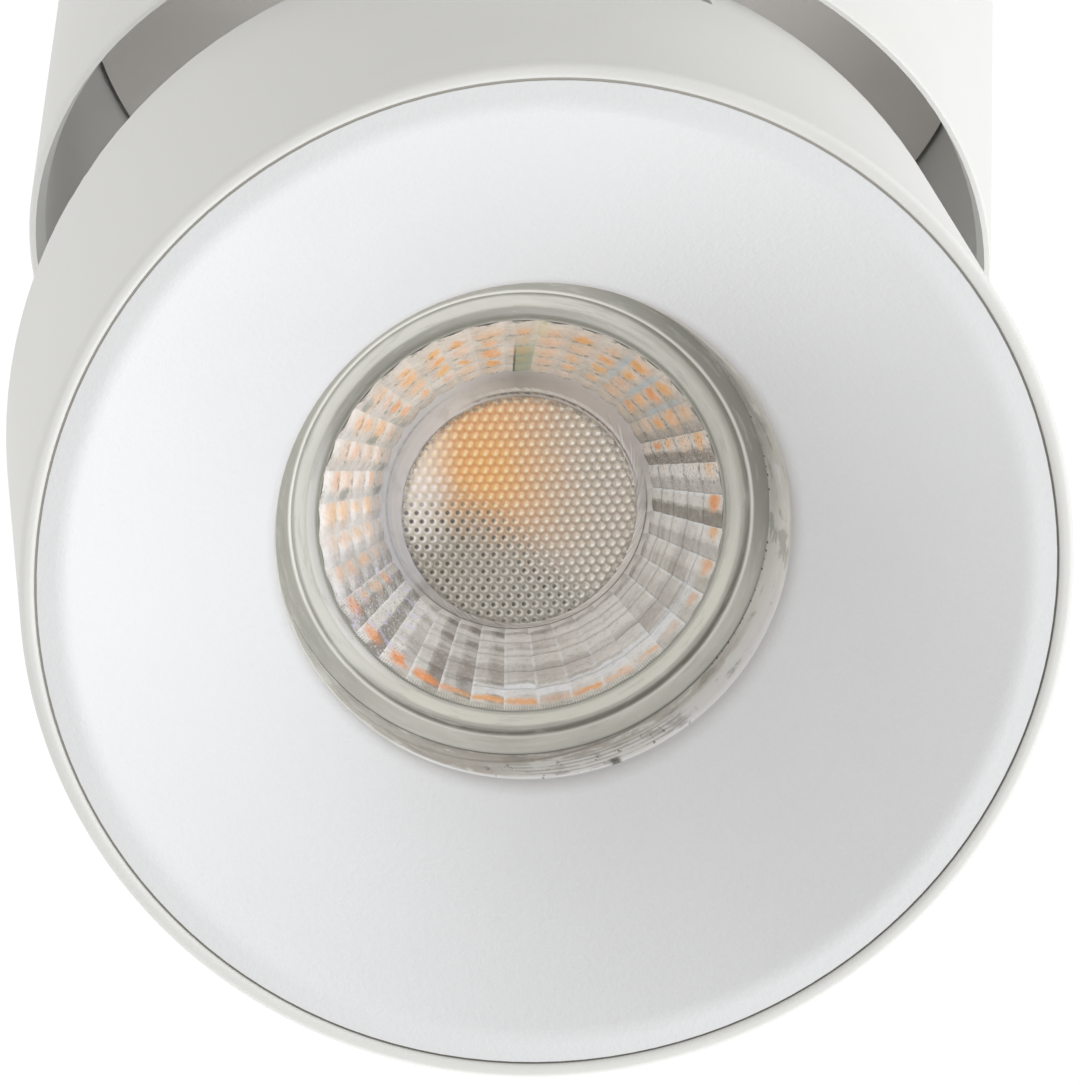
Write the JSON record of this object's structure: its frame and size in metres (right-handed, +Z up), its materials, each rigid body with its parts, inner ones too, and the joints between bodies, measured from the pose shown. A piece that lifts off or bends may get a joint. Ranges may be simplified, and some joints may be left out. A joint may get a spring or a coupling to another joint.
{
  "type": "downlight",
  "caption": "Surface mounted cylindrical ceiling downlight whose short head folds out of a base tube on an edge hinge and turns with it, with a white conical baffle around a clear faceted lens.",
  "frame": {"origin": "centre of the ceiling face, on the base tube's axis", "axes": "+Z up into the ceiling along the base tube's axis; the hinge axis runs along X and the head folds out toward -Y"},
  "size_m": [0.1, 0.1215, 0.1766],
  "materials": {
    "white_paint": "fine textured white powder coat",
    "baffle_white": "fine textured matt white",
    "zinc_steel": "zinc plated",
    "cast_aluminium": "as cast, blasted",
    "white_plastic": "moulded",
    "nylon": "natural nylon",
    "grey_rubber": "matt",
    "circuit_board": "solder resist",
    "component_black": "moulded",
    "led_board_white": "white solder resist on an aluminium core",
    "phosphor": "silicone phosphor, unlit",
    "holder_plastic": "moulded, light grey",
    "clear_lens": "clear moulded optic"
  },
  "bodies": {
    "base": {"ceiling_plate": "zinc_steel", "cable_grommet": "grey_rubber", "side_screws": "zinc_steel", "base_tube": "white_paint", "terminal_block": "white_plastic", "terminal_screws": "zinc_steel", "earth_screw": "zinc_steel", "driver_case": "white_plastic", "driver_cover": "white_plastic", "driver_board": "circuit_board", "driver_components": "component_black", "bulkhead": "cast_aluminium", "bulkhead_screws": "zinc_steel"},
    "turntable": {"turntable_disc": "white_paint", "stop_pin": "zinc_steel", "thrust_washer": "nylon", "pivot_tube": "zinc_steel", "pivot_bush": "grey_rubber", "spring_washer": "zinc_steel", "pivot_nut": "zinc_steel", "hinge_arm": "white_paint", "arm_screws": "zinc_steel"},
    "head": {"hinge_bolt": "zinc_steel", "hinge_nut": "zinc_steel", "friction_washers": "nylon", "hinge_ears": "zinc_steel", "ear_screws": "zinc_steel", "head_shell": "white_paint", "lead_grommet": "grey_rubber", "heat_sink": "cast_aluminium", "heat_sink_screws": "zinc_steel", "led_board": "led_board_white", "led_emitter": "phosphor", "led_frame": "white_plastic", "led_frame_screws": "zinc_steel", "lens_holder": "holder_plastic", "lens": "clear_lens", "baffle": "baffle_white"}
  },
  "joints": [
    {"name": "pan", "type": "hinge", "parent": "base", "child": "turntable", "pos_m": [0, 0, -0.039], "axis": [0, 0, 1], "range_deg": [-175, 175]},
    {"name": "fold_out", "type": "hinge", "parent": "turntable", "child": "head", "pos_m": [0, -0.04, -0.092], "axis": [-1, 0, 0], "range_deg": [-30.9, 59.1]}
  ]
}
